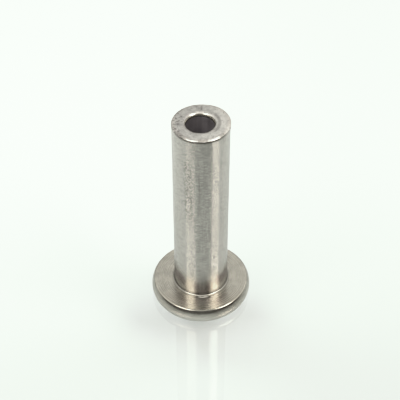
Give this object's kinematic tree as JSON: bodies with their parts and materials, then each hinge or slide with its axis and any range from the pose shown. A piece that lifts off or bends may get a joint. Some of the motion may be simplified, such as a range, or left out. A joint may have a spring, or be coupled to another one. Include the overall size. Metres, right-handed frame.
{
  "type": "clutch rivet",
  "caption": "Flat-headed semi-tubular rivet: plain round shank, thin rounded head and a blind bore in the open end.",
  "frame": {"origin": "centre of the head's flat outer face, on which the rivet stands", "axes": "+Z along the shank's axis, from the head towards the open end; the rivet is round, so X and Y are equal"},
  "size_m": [0.0112, 0.0112, 0.0245],
  "materials": {
    "rivet_steel": "satin bare steel: drawn along the shank, turned on the head and the end face"
  },
  "bodies": {
    "root": {"rivet": "rivet_steel"}
  },
  "joints": []
}
